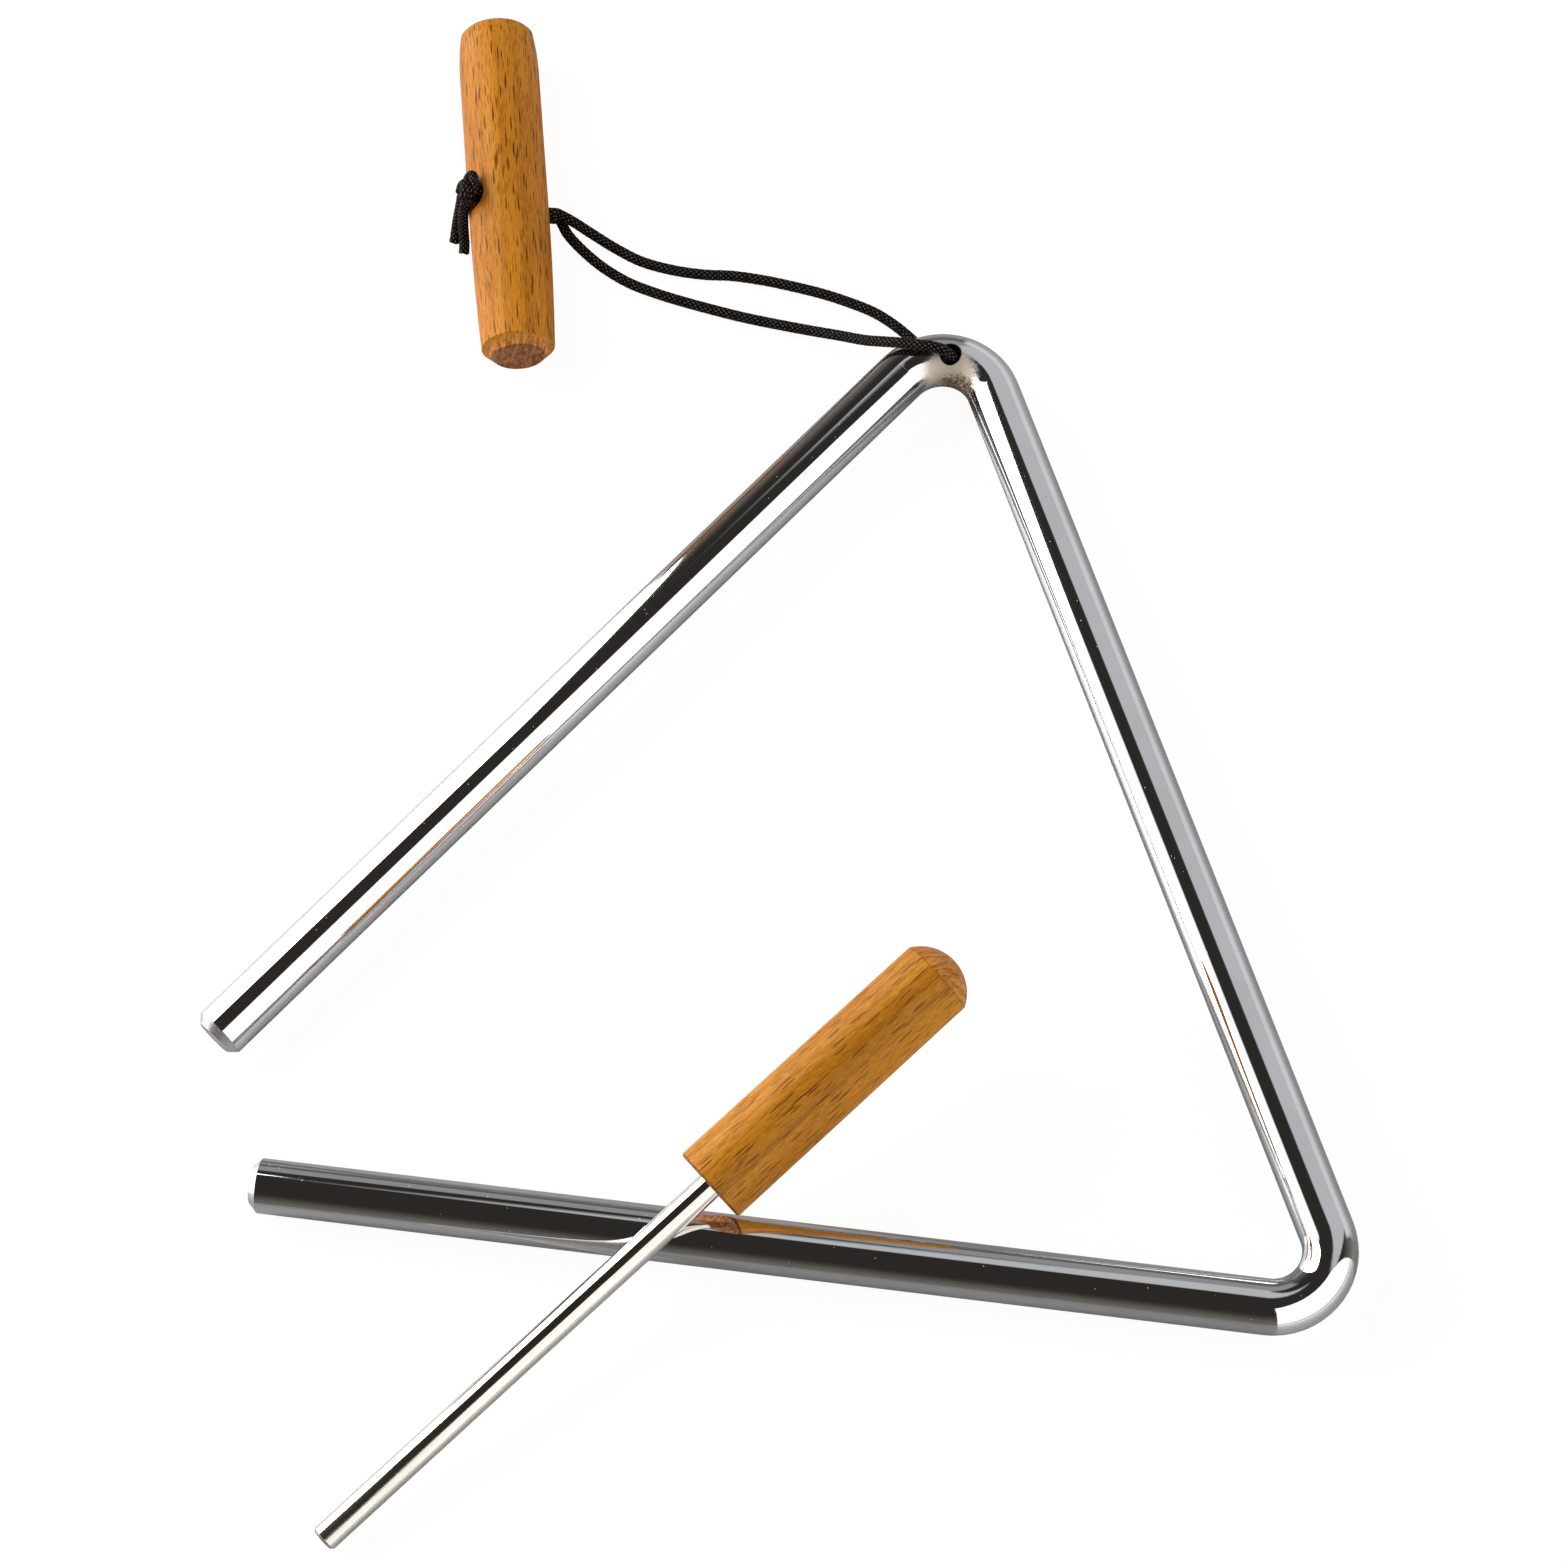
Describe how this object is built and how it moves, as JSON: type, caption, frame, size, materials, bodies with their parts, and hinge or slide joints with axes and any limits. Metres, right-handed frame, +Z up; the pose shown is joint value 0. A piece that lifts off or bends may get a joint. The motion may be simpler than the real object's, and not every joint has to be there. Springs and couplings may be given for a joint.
{
  "type": "triangle instrument",
  "caption": "Bent steel rod triangle with a cord through its top bend, a turned wooden holder on the cord, and a steel beater with a wooden grip.",
  "frame": {"origin": "on the table, below the middle of the box round the laid out instrument", "axes": "+Z up from the table, +Y away from the viewer along the holder, +X to the right along the triangle's bottom leg"},
  "size_m": [0.2083, 0.3009, 0.028],
  "materials": {
    "polished_bar": "polished chrome plating over steel, with faint specks and a rougher patch inside the top bend",
    "braided_cord": "black round cord, finely braided, with a soft sheen",
    "beech_holder": "clear satin lacquer over honey coloured beech with short dark pores along the grain",
    "steel_shaft": "plated steel with faint drawn lines near its tip",
    "beech_grip": "clear satin lacquer over honey coloured beech with fine dark grain lines"
  },
  "bodies": {
    "triangle": {"triangle_bar": "polished_bar"},
    "cord": {"cord_loop": "braided_cord"},
    "holder": {"holder": "beech_holder", "cord_inner_run": "braided_cord", "cord_knot": "braided_cord", "cord_tail_short": "braided_cord", "cord_tail_long": "braided_cord"},
    "beater": {"beater_shaft": "steel_shaft", "beater_grip": "beech_grip"}
  },
  "joints": [
    {"name": "loop_swing", "type": "hinge", "parent": "triangle", "child": "cord", "pos_m": [0.03484, 0.07421, 0.0074], "axis": [0, 0, 1], "range_deg": [-130, 3]},
    {"name": "holder_swivel", "type": "hinge", "parent": "cord", "child": "holder", "pos_m": [-0.0415, 0.1119, 0.00235], "axis": [0, 0, 1], "range_deg": [-45, 15]},
    {"name": "beater_lift", "type": "slide", "parent": "triangle", "child": "beater", "axis": [0, 0, 1], "range_m": [0, 0.06]}
  ]
}
